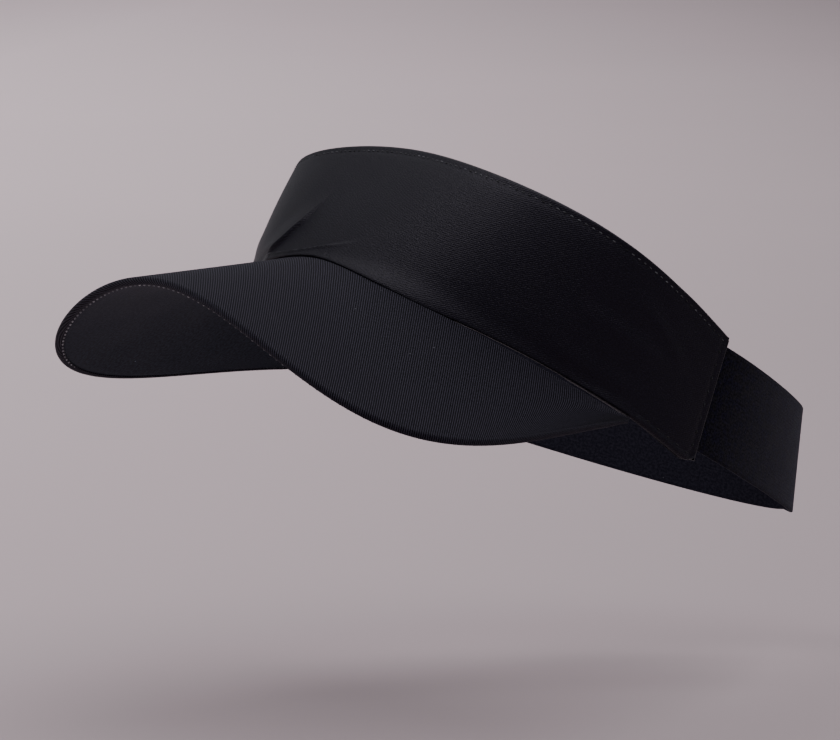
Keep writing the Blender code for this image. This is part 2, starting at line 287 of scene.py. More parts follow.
strapShape = {
    "width": 31.5,
    "thick": 1.0,
    "backY": 116.7,
    "topAtEnd": 26.5,
    "lowAtBack": -3.7,
    "sag": 2.0,
    "endPull": 25.6,
    "backPull": 15.6,
    "backLean": 15.3,
    "split": 0.55,
    "tabAngle": 6.0,
    "pocketDepth": 2.15,
}


def strapPoint(s, w, side):
    run = max(s, 0.0)
    low = mix(strapShape["topAtEnd"] - strapShape["width"], strapShape["lowAtBack"], run)
    low -= strapShape["sag"] * 4.0 * run * (1.0 - s)
    z = low + w * strapShape["width"]
    if s < 0.0:
        point = crownPoint(band["endAngle"] + s * strapShape["tabAngle"], z, strapShape["pocketDepth"])
    else:
        a = math.radians(band["endAngle"])
        heading = Vector((
            band["halfWidth"] * math.cos(a), band["frontDepth"] * math.sin(a), 0.0)).normalized()
        start = crownPoint(band["endAngle"], z, strapShape["pocketDepth"])
        back = Vector((
            0.0, strapShape["backY"] - (z - low) * math.tan(math.radians(strapShape["backLean"])), z))
        pull = Vector((strapShape["backPull"], 0.0, 0.0))
        point = Vector((0.0, 0.0, 0.0))
        for i, handle in enumerate((start, start + heading * strapShape["endPull"], back + pull, back)):
            point += handle * (math.comb(3, i) * (1.0 - s) ** (3 - i) * s ** i)
    return Vector((point.x * side, point.y, z))


# making cloth
def clearPick():
    bpy.ops.object.select_all(action="DESELECT")


def pick(piece):
    clearPick()
    piece.select_set(True)
    bpy.context.view_layer.objects.active = piece


def applyAll(piece):
    pick(piece)
    for modifier in list(piece.modifiers):
        bpy.ops.object.modifier_apply(modifier=modifier.name)


def laySheet(name, columns, rows, at, thick, weaveAt=None, soften=0.0, sharp=40.0):
    # a grid laid on at(u, w) and given the cloth's thickness;
    # weaveAt gives each point's place on the flat cloth in mm
    clearPick()
    bpy.ops.mesh.primitive_grid_add(x_subdivisions=columns, y_subdivisions=rows, size=2.0)
    piece = bpy.context.object
    piece.name = name
    cloth = piece.data
    cloth.name = name
    across, up = {}, {}
    for vert in cloth.vertices:
        across[vert.index] = round((vert.co.x + 1.0) * columns / 2.0)
        up[vert.index] = round((vert.co.y + 1.0) * rows / 2.0)
    places = {}
    for vert in cloth.vertices:
        i, j = across[vert.index], up[vert.index]
        point = at(i / columns, j / rows)
        places[i, j] = point
        vert.co = toRow(point)
    if weaveAt is None:
        weave = gridWeave(places, columns, rows)
    else:
        weave = {key: weaveAt(key[0] / columns, key[1] / rows) for key in places}
    for layer in list(cloth.uv_layers):
        cloth.uv_layers.remove(layer)
    layer = cloth.uv_layers.new(name="weave")
    for corner in cloth.loops:
        layer.data[corner.index].uv = weave[across[corner.vertex_index], up[corner.vertex_index]]
    solid = piece.modifiers.new("thickness", "SOLIDIFY")
    solid.thickness = thick * 0.001
    solid.offset = 0.0
    solid.use_even_offset = True
    if soften:
        bevel = piece.modifiers.new("edges", "BEVEL")
        bevel.width = soften * 0.001
        bevel.segments = 2
        bevel.limit_method = "ANGLE"
        bevel.angle_limit = math.radians(50.0)
    applyAll(piece)
    bpy.ops.object.shade_smooth_by_angle(angle=math.radians(sharp))
    return piece


def gridWeave(places, columns, rows):
    # lengths along the middle row and along each column
    middle = rows // 2
    run = [0.0]
    for i in range(columns):
        run.append(run[-1] + (places[i + 1, middle] - places[i, middle]).length)
    weave = {}
    for i in range(columns + 1):
        rise = 0.0
        for j in range(rows + 1):
            if j:
                rise += (places[i, j] - places[i, j - 1]).length
            weave[i, j] = (run[i] - run[-1] / 2.0, rise)
    return weave


def arc(centre, radius, start, end, steps):
    # points round a turned edge, as (depth, height) pairs
    turn = []
    for i in range(steps + 1):
        a = math.radians(mix(start, end, i / steps))
        turn.append((centre[0] + radius * math.cos(a), centre[1] + radius * math.sin(a)))
    return turn


def joinAll(parts, name):
    clearPick()
    for part in parts:
        part.select_set(True)
    bpy.context.view_layer.objects.active = parts[0]
    bpy.ops.object.join()
    whole = bpy.context.object
    whole.name = name
    whole.data.name = name
    return whole


# finishes
class Wire:
    # one socket of a finish, for sums in plain Python
    def __init__(self, finish, socket):
        self.finish = finish
        self.socket = socket

    def math(self, operation, *others):
        return self.finish.add("ShaderNodeMath", {"operation": operation}, [self, *others])

    def __add__(self, other):
        return self.math("ADD", other)

    def __mul__(self, other):
        return self.math("MULTIPLY", other)

    def __sub__(self, other):
        return self.math("SUBTRACT", other)

    def __rsub__(self, other):
        return self.finish.add("ShaderNodeMath", {"operation": "SUBTRACT"}, [other, self])

    __radd__ = __add__
    __rmul__ = __mul__

    def clip(self, low, high):
        values = {"Value": self, "From Min": low, "From Max": high}
        return self.finish.add(
            "ShaderNodeMapRange", {"clamp": True, "interpolation_type": "SMOOTHSTEP"}, values)


class Finish:
    def __init__(self, name, **shine):
        self.material = bpy.data.materials.new(name)
        self.material.use_nodes = True
        self.nodes = self.material.node_tree.nodes
        self.links = self.material.node_tree.links
        self.shader = self.nodes["Principled BSDF"]
        for socket, value in shine.items():
            self.shader.inputs[socket.replace("_", " ")].default_value = value

    def add(self, kind, settings, values, output=0):
        node = self.nodes.new(kind)
        for setting, value in settings.items():
            if setting == "stops":
                ramp = node.color_ramp
                while len(ramp.elements) < len(value):
                    ramp.elements.new(0.5)
                for stop, (position, colour) in zip(ramp.elements, value):
                    stop.position = position
                    stop.color = colour
            else:
                setattr(node, setting, value)
        pairs = values.items() if isinstance(values, dict) else enumerate(values)
        for key, value in pairs:
            if isinstance(value, Wire):
                self.links.new(value.socket, node.inputs[key])
            else:
                node.inputs[key].default_value = value
        return Wire(self, node.outputs[output])

    def weave(self):
        place = self.add("ShaderNodeUVMap", {"uv_map": "weave"}, {})
        return place, self.part(place, 0), self.part(place, 1)

    def part(self, place, axis):
        return self.add("ShaderNodeSeparateXYZ", {}, [place], axis)

    def lines(self, place, pitch):
        # 0 to 1 and back once every pitch mm
        return (place * (2.0 * math.pi / pitch)).math("SINE") * 0.5 + 0.5

    def cloud(self, place, size, detail=2.0, rough=0.5):
        return self.add("ShaderNodeTexNoise", {"noise_dimensions": "3D"},
                        {"Vector": place, "Scale": 1.0 / size, "Detail": detail, "Roughness": rough})

    def blendColours(self, share, first, second):
        settings = {"data_type": "RGBA", "blend_type": "MIX"}
        return self.add("ShaderNodeMix", settings, {0: share, 6: first, 7: second}, 2)

    def lint(self, place, cell, size, share):
        # a few pale specks: a dot in some of the cells of a Voronoi
        settings = {"feature": "F1"}
        near = self.add("ShaderNodeTexVoronoi", settings, {"Vector": place, "Scale": 1.0 / cell}, 0)
        tint = self.add("ShaderNodeTexVoronoi", settings, {"Vector": place, "Scale": 1.0 / cell}, 1)
        keep = self.part(tint, 0).math("GREATER_THAN", 1.0 - share)
        return (1.0 - near.clip(size / cell * 0.5, size / cell)) * keep

    def set(self, socket, value):
        self.links.new(value.socket, self.shader.inputs[socket])

    def bump(self, height, distance, strength=1.0):
        bumps = {"Height": height, "Distance": distance, "Strength": strength}
        self.set("Normal", self.add("ShaderNodeBump", {}, bumps))


def paint(*shade):
    return (*shade, 1.0)


def satinFinish():
    look = {
        "dark": paint(0.0010, 0.0009, 0.0026),
        "light": paint(0.0056, 0.0050, 0.0118),
        "lint": paint(0.07, 0.07, 0.08),
        "linePitch": 0.60,
        "lineTurn": -28.0,
        "dashPitch": 1.1,
    }
    f = Finish("crownSatin",
               Sheen_Weight=0.03, Sheen_Roughness=0.35, Sheen_Tint=paint(0.8, 0.8, 0.95),
               Specular_IOR_Level=0.20, Specular_Tint=paint(0.92, 0.83, 1.0))
    place, u, v = f.weave()
    turn = math.radians(look["lineTurn"])
    wander = f.cloud(place, 9.0, 2.0) * 0.5
    diagonal = v * math.cos(turn) + u * math.sin(turn) + wander
    alongLine = u * math.cos(turn) - v * math.sin(turn)
    lines = f.lines(diagonal, look["linePitch"])
    # each row of floats starts half a float further on than the last
    floats = f.lines(alongLine + diagonal * (0.5 * look["dashPitch"] / look["linePitch"]), look["dashPitch"])
    patchy = f.cloud(place, 0.55, 2.0, 0.7)
    broad = f.cloud(place, 14.0, 3.0, 0.55)
    shade = lines * 0.10 + lines * floats * 0.08 + (patchy - 0.5) * 2.2 + 0.42
    colour = f.blendColours(shade.clip(0.15, 1.05), look["dark"], look["light"])
    specks = f.lint(place, 7.0, 0.17, 0.55)
    f.set("Base Color", f.blendColours(specks, colour, look["lint"]))
    f.set("Roughness", 0.35 + broad * 0.10 - lines * 0.05)
    f.bump(lines * 0.26 + lines * floats * 0.12 + patchy * 1.5, 0.00013, 0.9)
    return f.material


def twillFinish():
    look = {
        "dark": paint(0.0008, 0.0008, 0.0016),
        "light": paint(0.0370, 0.0335, 0.0500),
        "lint": paint(0.12, 0.12, 0.135),
        "ribPitch": 0.645,
        "ribTurn": 29.5,
    }
    f = Finish("billTwill",
               Sheen_Weight=0.06, Sheen_Roughness=0.4, Sheen_Tint=paint(0.82, 0.78, 0.95),
               Specular_IOR_Level=0.05)
    place, u, v = f.weave()
    turn = math.radians(look["ribTurn"])
    wander = f.cloud(place, 11.0, 2.0) * 0.25
    acrossRib = u * math.sin(turn) + v * math.cos(turn) + wander
    alongRib = u * math.cos(turn) - v * math.sin(turn)
    ribs = f.lines(acrossRib, look["ribPitch"])
    steps = f.lines(alongRib + acrossRib * 0.7, 0.5)
    patchy = f.cloud(place, 0.6, 2.0, 0.6)
    broad = f.cloud(place, 12.0, 3.0, 0.5)
    shade = ribs * 0.90 + steps * ribs * 0.24 + (patchy - 0.5) * 1.1 - 0.10
    colour = f.blendColours(shade.clip(0.12, 1.0), look["dark"], look["light"])
    specks = f.lint(place, 5.5, 0.2, 0.6)
    f.set("Base Color", f.blendColours(specks, colour, look["lint"]))
    f.set("Roughness", 0.62 + broad * 0.12 - ribs * 0.06)
    f.bump(ribs * 0.8 + steps * ribs * 0.3 + patchy * 0.5, 0.00020, 0.9)
    return f.material


def plainFinish(name, dark, light, threadPitch, roughness, lintShare=0.5, sheen=0.04):
    # a plain weave: over and under in both directions
    f = Finish(name,
               Sheen_Weight=sheen, Sheen_Roughness=0.4, Sheen_Tint=paint(0.8, 0.8, 0.95),
               Specular_IOR_Level=0.12,
               Specular_Tint=paint(0.82, 0.88, 1.0))
    place, u, v = f.weave()
    warp = f.lines(u, threadPitch)
    weft = f.lines(v, threadPitch)
    over = f.lines(u + v, threadPitch * 2.0)
    patchy = f.cloud(place, 0.8, 2.0, 0.6)
    broad = f.cloud(place, 13.0, 3.0, 0.5)
    cloth = warp * over + weft * (1.0 - over)
    shade = cloth * 0.35 + (patchy - 0.5) * 2.8 + 0.35
    colour = f.blendColours(shade.clip(0.1, 1.0), dark, light)
    specks = f.lint(place, 6.5, 0.2, lintShare)
    lint = paint(*[min(1.0, c * 9.0 + 0.05) for c in light[:3]])
    f.set("Base Color", f.blendColours(specks, colour, lint))
    f.set("Roughness", roughness + broad * 0.12)
    f.bump(cloth * 0.7 + patchy * 0.3, 0.00010, 0.8)
    return f.material


def elasticFinish():
    look = {
        "dark": paint(0.0006, 0.0006, 0.0018),
        "grey": paint(0.0140, 0.0134, 0.0190),
        "blue": paint(0.0100, 0.0096, 0.0255),
        "paintedFillDark": paint(0.0100, 0.0096, 0.0165),
        "paintedFillLight": paint(0.0225, 0.0215, 0.0330),
        "lint": paint(0.10, 0.10, 0.12),
        "cordPitch": 0.95,
        "pickPitch": 0.6,
    }
    f = Finish("strapElastic",
               Sheen_Weight=0.08, Sheen_Roughness=0.25, Sheen_Tint=paint(0.75, 0.75, 0.95),
               Specular_IOR_Level=0.045)
    place, u, v = f.weave()
    wander = f.cloud(place, 3.0, 2.0) * 0.9
    cords = f.lines(v + wander * 0.3, look["cordPitch"])
    picks = f.lines(u + wander + cords * 0.2, look["pickPitch"])
    patchy = f.cloud(place, 0.80, 3.0, 0.75)
    broad = f.cloud(place, 10.0, 3.0, 0.6)
    hue = f.cloud(place, 2.4, 2.0, 0.5)
    tone = f.blendColours(hue.clip(0.42, 0.6), look["grey"], look["blue"])
    shade = picks * 0.12 + cords * 0.06 + (patchy - 0.5) * 4.4 + 0.40
    outside = f.blendColours(shade.clip(0.0, 1.05), look["dark"], tone)
    # the face towards the head takes lighter colours: painted fill light
    inside = f.blendColours(shade.clip(0.0, 1.05), look["paintedFillDark"], look["paintedFillLight"])
    colour = f.blendColours(
        f.add("ShaderNodeAttribute", {"attribute_name": "inside"}, {}, 2), outside, inside)
    specks = f.lint(place, 6.5, 0.2, 0.5)
    f.set("Base Color", f.blendColours(specks, colour, look["lint"]))
    f.set("Roughness", 0.66 + broad * 0.16)
    f.bump(cords * 0.25 + picks * 0.35 + patchy * 0.9, 0.00014, 0.8)
    return f.material


def terryFinish():
    f = Finish("sweatbandTerry",
               Sheen_Weight=0.35, Sheen_Roughness=0.5, Sheen_Tint=paint(0.8, 0.8, 0.85),
               Specular_IOR_Level=0.25)
    place, u, v = f.weave()
    loops = f.add("ShaderNodeTexVoronoi", {"feature": "F1"}, {"Vector": place, "Scale": 1.0 / 0.75}, 0)
    patchy = f.cloud(place, 2.5, 3.0, 0.6)
    colour = f.blendColours(
        (loops * 0.6 + patchy * 0.5).clip(0.1, 1.0), paint(0.017, 0.017, 0.020), paint(0.0045, 0.0045, 0.006))
    f.set("Base Color", colour)
    f.set("Roughness", 0.85 + patchy * 0.12)
    f.bump((1.0 - loops) * 0.8 + patchy * 0.3, 0.00035, 0.9)
    return f.material


def feltFinish():
    f = Finish("interliningFelt", Specular_IOR_Level=0.25)
    place, u, v = f.weave()
    fibres = f.cloud(place, 0.5, 4.0, 0.7)
    patchy = f.cloud(place, 4.0, 2.0)
    f.set("Base Color", f.blendColours(
        fibres * 0.6 + patchy * 0.4, paint(0.40, 0.40, 0.38), paint(0.66, 0.66, 0.63)))
    f.set("Roughness", 0.8 + fibres * 0.15)
    f.bump(fibres, 0.0001, 0.7)
    return f.material


def boardFinish():
    # the CAD board keeps its shape; its pattern reads Object coordinates, in metres
    f = Finish("billBoardPlastic", Specular_IOR_Level=0.45)
    place = f.add("ShaderNodeTexCoord", {}, {}, 3)
    grain = f.cloud(place, 0.0006, 3.0, 0.6)
    cloudy = f.cloud(place, 0.02, 2.0)
    f.set("Base Color", f.blendColours(
        cloudy * 0.7 + grain * 0.3, paint(0.60, 0.61, 0.61), paint(0.76, 0.77, 0.77)))
    f.set("Roughness", 0.38 + grain * 0.15)
    f.bump(grain, 0.00004, 0.6)
    return f.material


def threadFinish(name, dark, light, twist, paintedGlint):
    # two-ply thread: slanting plies run round each stitch; each stitch is painted lighter or darker at random,
    # painted highlights for the light that some stitches catch
    f = Finish(name, Sheen_Weight=0.08, Sheen_Roughness=0.4, Specular_IOR_Level=0.25)
    place, u, v = f.weave()
    ply = f.lines(u + v * 0.5, twist)
    fuzz = f.cloud(place, 0.4, 2.0)
    # painted highlight: a lighter or darker colour for each stitch
    each = f.cloud(place, 6.0, 0.0) - 0.5
    f.set("Base Color", f.blendColours(
        (ply * 0.4 + fuzz * 0.4 + each * paintedGlint + 0.1).clip(0.1, 1.0), dark, light))
    f.set("Roughness", 0.55 + fuzz * 0.12)
    f.bump(ply, 0.00008, 0.8)
    return f.material


satin = satinFinish()
twill = twillFinish()
underCloth = plainFinish(
    "underCloth", paint(0.0036, 0.0052, 0.0100), paint(0.0165, 0.0220, 0.0345), 0.55, 0.60, 0.35, 0.05)
liningCloth = plainFinish(
    "liningCloth", paint(0.0050, 0.0050, 0.0062), paint(0.0180, 0.0175, 0.0205), 0.6, 0.70)
tapeCloth = plainFinish(
    "bindingTape", paint(0.0045, 0.0045, 0.0058), paint(0.0190, 0.0185, 0.0220), 0.5, 0.62)
elastic = elasticFinish()
terry = terryFinish()
felt = feltFinish()
darkThread = threadFinish("darkThread", paint(0.0040, 0.0040, 0.0052), paint(0.016, 0.016, 0.020), 0.5, 1.5)
edgeThread = threadFinish("edgeThread", paint(0.0060, 0.0060, 0.0080), paint(0.100, 0.100, 0.115), 0.5, 3.2)
paleThread = threadFinish("paleThread", paint(0.16, 0.16, 0.175), paint(0.52, 0.52, 0.55), 0.5, 2.0)
print("finishes made")


def dress(piece, material, slot, body, *nodes):
    piece.data.materials.clear()
    piece.data.materials.append(material)
    if body:
        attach(piece, body)
    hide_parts(*nodes)
    return piece


# camera, floor and light
view = {
    "azimuth": 53.95,
    "elevation": 6.5,
    "target": Vector((0.0, -0.01155, 0.02582)),
    "distance": 1.5298,
    "lens": 219.76,
    "shiftX": -0.0670,
    "shiftY": -0.0719,
}
azimuth = math.radians(view["azimuth"])
elevation = math.radians(view["elevation"])
back = Vector((
    math.sin(azimuth) * math.cos(elevation),
    -math.cos(azimuth) * math.cos(elevation),
    math.sin(elevation)))
cameraData = bpy.data.cameras.new("photoCamera")
camera = bpy.data.objects.new("photoCamera", cameraData)
bpy.context.scene.collection.objects.link(camera)
camera.location = view["target"] + back * view["distance"]
camera.rotation_euler = (-back).to_track_quat("-Z", "Y").to_euler()
cameraData.lens = view["lens"]
cameraData.sensor_width = 36.0
cameraData.shift_x = view["shiftX"]
cameraData.shift_y = view["shiftY"]
cameraData.clip_start = 0.05
cameraData.clip_end = 60.0
bpy.context.scene.camera = camera

studio = {
    "floorHeight": -0.091,
    "floorSize": 40.0,
    "paperShade": paint(0.30, 0.246, 0.264),
    "paperLight": paint(0.90, 0.74, 0.79),
    "air": 0.26,
    "airColour": (0.96, 0.95, 1.0),
    "lamps": [
        # name, place, what it looks at, width, height, watts
        ("keySoftbox", (-0.8, -1.18, 1.7), (0.0, -0.03, 0.02), 0.9, 0.9, 5.2),
        ("topSoftbox", (0.55, 0.35, 2.0), (0.55, 0.35, 0.0), 3.7, 3.7, 64.0),
        ("sweepSoftbox", (-1.9, 1.4, 2.6), (-3.9, 2.85, -0.09), 2.6, 2.6, 46.0),
    ],
}
clearPick()
bpy.ops.mesh.primitive_grid_add(x_subdivisions=4, y_subdivisions=4, size=studio["floorSize"],
                                location=(0.0, 0.0, studio["floorHeight"]))
floor = bpy.context.object
floor.name = "studioFloor"
bpy.ops.object.transform_apply(location=True)


def floorFinish():
    # painted light: the paper's colour is lighter towards the left and the far side, where lamps above the left
    # would light it more
    f = Finish("floorPaper", Specular_IOR_Level=0.1)
    place = f.add("ShaderNodeTexCoord", {}, {}, 3)
    x, y = f.part(place, 0), f.part(place, 1)
    sideways = x * math.cos(azimuth) + y * math.sin(azimuth)
    away = y * math.cos(azimuth) - x * math.sin(azimuth)
    leftward = (0.0 - sideways).math("DIVIDE", away + 1.53)
    light = away * 0.11 + leftward * (away * 1.20 + 0.91) + (f.cloud(place, 0.5, 2.0) - 0.5) * 0.06 + 0.26
    light = light.math("MAXIMUM", 0.0).math("MINIMUM", 1.0)
    f.set("Base Color", f.blendColours(light, studio["paperShade"], studio["paperLight"]))
    f.set("Roughness", 0.9 + f.cloud(place, 0.02, 2.0) * 0.05)
    return f.material


floor.data.materials.append(floorFinish())
for lampName, place, aim, width, height, watts in studio["lamps"]:
    lampData = bpy.data.lights.new(lampName, "AREA")
    lampData.shape = "RECTANGLE"
    lampData.size = width
    lampData.size_y = height
    lampData.energy = watts
    lamp = bpy.data.objects.new(lampName, lampData)
    bpy.context.scene.collection.objects.link(lamp)
    lamp.location = place
    lamp.rotation_euler = (Vector(aim) - Vector(place)).to_track_quat("-Z", "Y").to_euler()
world = bpy.data.worlds.new("studioAir")
bpy.context.scene.world = world
world.use_nodes = True
air = world.node_tree.nodes["Background"]
air.inputs["Color"].default_value = paint(*studio["airColour"])
air.inputs["Strength"].default_value = studio["air"]
print("camera, floor and lights made")

# crown panel: one cut of cloth, turned in at its lower edge and hemmed at its top
panel = {
    "columns": 500,
    "thick": 0.5,
    "depth": 0.25,
    "turnDepth": 1.05,
    "turnHeight": 6.0,
    "hemDepth": 1.9,
    "hemHeight": 8.0,
    "topStitchDrop": 2.05,
    "stitchPitch": 2.35,
    "endStitchInset": 1.7,
    "hemStitchRise": 2.2,
    "faceRows": 68,
    "turnRows": 4,
    "arcRows": 8,
}


def endLift(angle):
    # the lower corner of each end is rounded
    past = abs(angle) - (band["endAngle"] - band["endCorner"])
    if past <= 0.0:
        return 0.0
    part = min(past / band["endCorner"], 1.0)
    return 3.6 * (1.0 - math.sqrt(1.0 - part * part))


def panelPath(angle):
    turnRadius = (panel["turnDepth"] - panel["depth"]) / 2.0
    low = lowAt(angle) + endLift(angle) - footDrop(angle)
    top = topAt(angle)
    turn = low + turnRadius + panel["thick"] / 2.0 + band["gap"] * 0.5
    path = []
    for i in range(panel["turnRows"]):
        path.append((panel["turnDepth"], mix(low + panel["turnHeight"], turn, i / panel["turnRows"])))
    path += arc((panel["depth"] + turnRadius, turn), turnRadius, 0.0, -180.0, panel["arcRows"])
    hemDepth = mix(panel["hemDepth"], panel["turnDepth"], inPocket(angle))
    hemRadius = (hemDepth - panel["depth"]) / 2.0
    faceTop = top - hemRadius
    for i in range(1, panel["faceRows"]):
        path.append((panel["depth"], mix(turn, faceTop, (i / panel["faceRows"]) ** 1.25)))
    path += arc((panel["depth"] + hemRadius, faceTop), hemRadius, 180.0, 0.0, panel["arcRows"])
    for i in range(1, panel["turnRows"] + 1):
        path.append((hemDepth, mix(faceTop, top - panel["hemHeight"], i / panel["turnRows"])))
    return path


panelRows = 2 * panel["turnRows"] + 2 * panel["arcRows"] + panel["faceRows"]
bandRun = {}


def runTo(angle):
    # length along the band at the height of the seam's corner, from the middle of the front
    key = round(abs(angle) * 4.0)
    if not bandRun:
        total, last = 0.0, crownFace(0.0, 12.0)
        for step in range(0, 440):
            here = crownFace(step / 4.0, 12.0)
            total += (here - last).length
            bandRun[step] = total
            last = here
    low = int(abs(angle) * 4.0)
    part = abs(angle) * 4.0 - low
    return math.copysign(mix(bandRun[low], bandRun[low + 1], part), angle)


def panelDent(angle, z):
    # stitches draw the cloth in, a little more at each needle hole
    beat = 0.5 + 0.5 * math.cos(runTo(angle) * 2.0 * math.pi / panel["stitchPitch"])
    dent = (0.14 + 0.10 * beat) * bell(z - topAt(angle) + panel["topStitchDrop"], 0.75)
    past = abs(angle) - (band["endAngle"] - panel["endStitchInset"])
    if past > -3.0:
        dent += 0.20 * bell(past, 0.45)
    if abs(angle) > band["seamCornerAngle"]:
        dent += 0.16 * bell(z - lowAt(angle) - panel["hemStitchRise"], 0.6)
    return dent


pathCache = {}


def panelSpot(angle, row):
    if angle not in pathCache:
        pathCache.clear()
        pathCache[angle] = panelPath(angle)
    return pathCache[angle][row]


def panelReach(u, depth):
    # the legs inside stop short of the ends, where the cloth is turned in
    reach = band["endAngle"] - mix(0.3, 1.1, ease((depth - 0.3) / 0.5))
    return mix(-reach, reach, u)


def panelAt(u, w):
    row = round(w * panelRows)
    angle = mix(-band["endAngle"], band["endAngle"], u)
    depth, z = panelSpot(round(angle, 6), row)
    angle = panelReach(u, depth)
    if depth <= panel["depth"] + 0.01:
        depth += panelDent(angle, z)
    return crownPoint(angle, z, depth)


def panelWeave(u, w):
    row = round(w * panelRows)
    angle = mix(-band["endAngle"], band["endAngle"], u)
    path = panelPath(angle)
    firstFace = panel["turnRows"] + panel["arcRows"]
    lastFace = firstFace + panel["faceRows"]
    depth, z = path[row]
    if row < firstFace:
        z = 2.0 * path[firstFace][1] - z - 1.3
    elif row > lastFace:
        z = 2.0 * path[lastFace][1] - z + 2.6 * min(1.0, (row - lastFace) / panel["arcRows"])
    return (runTo(angle), z)


crownPanel = laySheet("crownPanel", panel["columns"], panelRows, panelAt, panel["thick"], panelWeave)
dress(crownPanel, satin, "crown_satin", "visor", "crown_outer_panel")
print("crown panel sewn")

# ends of the crown: the panel's cloth folded round each end and into the pocket
endTurn = {"arcColumns": 6, "runColumns": 14, "rows": 40, "radius": 0.4, "run": 12.0}


def makeEndTurn(side, word):
    columns = endTurn["arcColumns"] + endTurn["runColumns"]
    perDegree = (crownFace(98.0, 8.0) - crownFace(97.0, 8.0)).length
    centreAngle = band["endAngle"] - 0.3

    def spot(u, w):
        i = round(u * columns)
        low = lowAt(centreAngle) + endLift(centreAngle) * 0.45 + 0.8
        top = topAt(centreAngle) - 0.75
        z = mix(low, top, w)
        inner = ease((z - lowAt(centreAngle) - panel["turnHeight"] - 0.2) / 0.8)
        inner *= ease((topAt(centreAngle) - panel["hemHeight"] - 0.4 - z) / 0.8)
        if i <= endTurn["arcColumns"]:
            turn = math.pi * i / endTurn["arcColumns"]
            angle = centreAngle + math.sin(turn) * endTurn["radius"] / perDegree
            depth = panel["depth"] + endTurn["radius"] * (1.0 - math.cos(turn))
        else:
            part = (i - endTurn["arcColumns"]) / endTurn["runColumns"]
            run = mix(0.35, endTurn["run"], inner) * part
            angle = centreAngle - run / perDegree
            depth = panel["turnDepth"]
        return angle, z, depth

    def at(u, w):
        angle, z, depth = spot(u, w)
        return crownPoint(side * angle, z, depth)

    piece = laySheet("crownEndTurn" + word.capitalize(), columns, endTurn["rows"], at, panel["thick"] * 0.9)
    dress(piece, satin, "crown_satin", "visor", "crown_end_turn_in_" + word)
    return piece


endTurns = [makeEndTurn(1, "left"), makeEndTurn(-1, "right")]

# layers inside the crown
inner = {
    "columns": 200,
    "interliningThick": 0.4,
    "liningThick": 0.4,
    "liningDepth": 1.9,
    "pocketLiningDepth": 3.3,
    "tapeThick": 0.3,
    "tapeDepth": 2.6,
    "tapeHeight": 7.0,
    "tapeAngle": 78.0,
}


def interliningAt(u, w):
    reach = band["endAngle"] - 2.0 * band["pocketAngle"]
    angle = mix(-reach, reach, u)
    low = lowAt(angle) + panel["turnHeight"] + band["gap"]
    return crownPoint(angle, mix(low, topAt(angle) - 1.8, w), panel["turnDepth"])


interlining = laySheet("crownInterlining", 160, 16, interliningAt, inner["interliningThick"])
dress(interlining, felt, "interlining_felt", "visor", "crown_interlining")


def liningAt(u, w):
    angle = mix(-band["endAngle"] + 0.5, band["endAngle"] - 0.5, u)
    low = lowAt(angle) + band["gap"] + endLift(angle)
    high = topAt(angle) - panel["hemHeight"] - 2.0 * band["gap"]
    depth = mix(inner["liningDepth"], inner["pocketLiningDepth"], inPocket(angle))
    z = mix(low, high, w)
    depth += 0.06 * noise.noise(Vector((angle * 0.3, z * 0.2, 1.0)))
    return crownPoint(angle, z, depth)


lining = laySheet("crownLining", inner["columns"], 24, liningAt, inner["liningThick"])
dress(lining, liningCloth, "lining_cloth", "visor", "crown_lining")


def tapeAt(u, w):
    angle = mix(-inner["tapeAngle"], inner["tapeAngle"], u)
    return crownPoint(angle, lowAt(angle) + band["gap"] + inner["tapeHeight"] * w, inner["tapeDepth"])


seamTape = laySheet("seamTape", 160, 8, tapeAt, inner["tapeThick"])
dress(seamTape, tapeCloth, "binding_tape", "visor", "bill_seam_tape")

# sweatband: a padded terry strip with a bound top edge
sweat = {
    "angle": 80.0,
    "height": 24.0,
    "depth": 3.9,
    "thick": 1.5,
    "columns": 220,
    "rows": 22,
    "bindingRadius": 1.2,
    "bindingLeg": 5.0,
    "bindingThick": 0.3,
}


def sweatTop(angle):
    return lowAt(angle) + sweat["height"]


def sweatAt(u, w):
    angle = mix(-sweat["angle"], sweat["angle"], u)
    low = lowAt(angle) + band["gap"]
    puff = math.sin(math.pi * min(1.0, w * 1.15)) if w < 0.87 else 0.0
    z = mix(low, sweatTop(angle), w)
    depth = sweat["depth"] + 0.35 * puff + 0.12 * noise.noise(Vector((angle * 0.25, z * 0.3, 5.0))) * puff
    return crownPoint(angle, z, depth)


sweatband = laySheet("terrySweatband", sweat["columns"], sweat["rows"], sweatAt, sweat["thick"], soften=0.5)
dress(sweatband, terry, "sweatband_terry", "visor", "sweatband")


def bindingAt(u, w):
    angle = mix(-sweat["angle"], sweat["angle"], u)
    centre = (sweat["depth"], sweatTop(angle) + band["gap"])
    legRows, arcRows = 5, 10
    row = round(w * (2 * legRows + arcRows))
    if row < legRows:
        depth = centre[0] - sweat["bindingRadius"]
        z = mix(centre[1] - sweat["bindingLeg"], centre[1], row / legRows)
    elif row > legRows + arcRows:
        part = (row - legRows - arcRows) / legRows
        depth, z = centre[0] + sweat["bindingRadius"], mix(centre[1], centre[1] - sweat["bindingLeg"], part)
    else:
        depth, z = arc(centre, sweat["bindingRadius"], 180.0, 0.0, arcRows)[row - legRows]
    return crownPoint(angle, z, depth)


binding = laySheet("sweatbandBinding", sweat["columns"], 20, bindingAt, sweat["bindingThick"])
dress(binding, tapeCloth, "binding_tape", "visor", "sweatband_binding")
print("inside layers sewn")

# bill cover: one cloth from the seam, over the board and rolled under its edge
coverSize = {"columns": 380, "curlRows": 5, "faceRows": 44, "arcRows": 12, "legRows": 5}
coverRows = coverSize["curlRows"] + coverSize["faceRows"] + coverSize["arcRows"] + coverSize["legRows"]


def billFit(width):
    return min(1.0, width / 14.0)


def tipFit(u):
    return 1.0 - 0.6 * ease((abs(u) - 0.94) / 0.045)


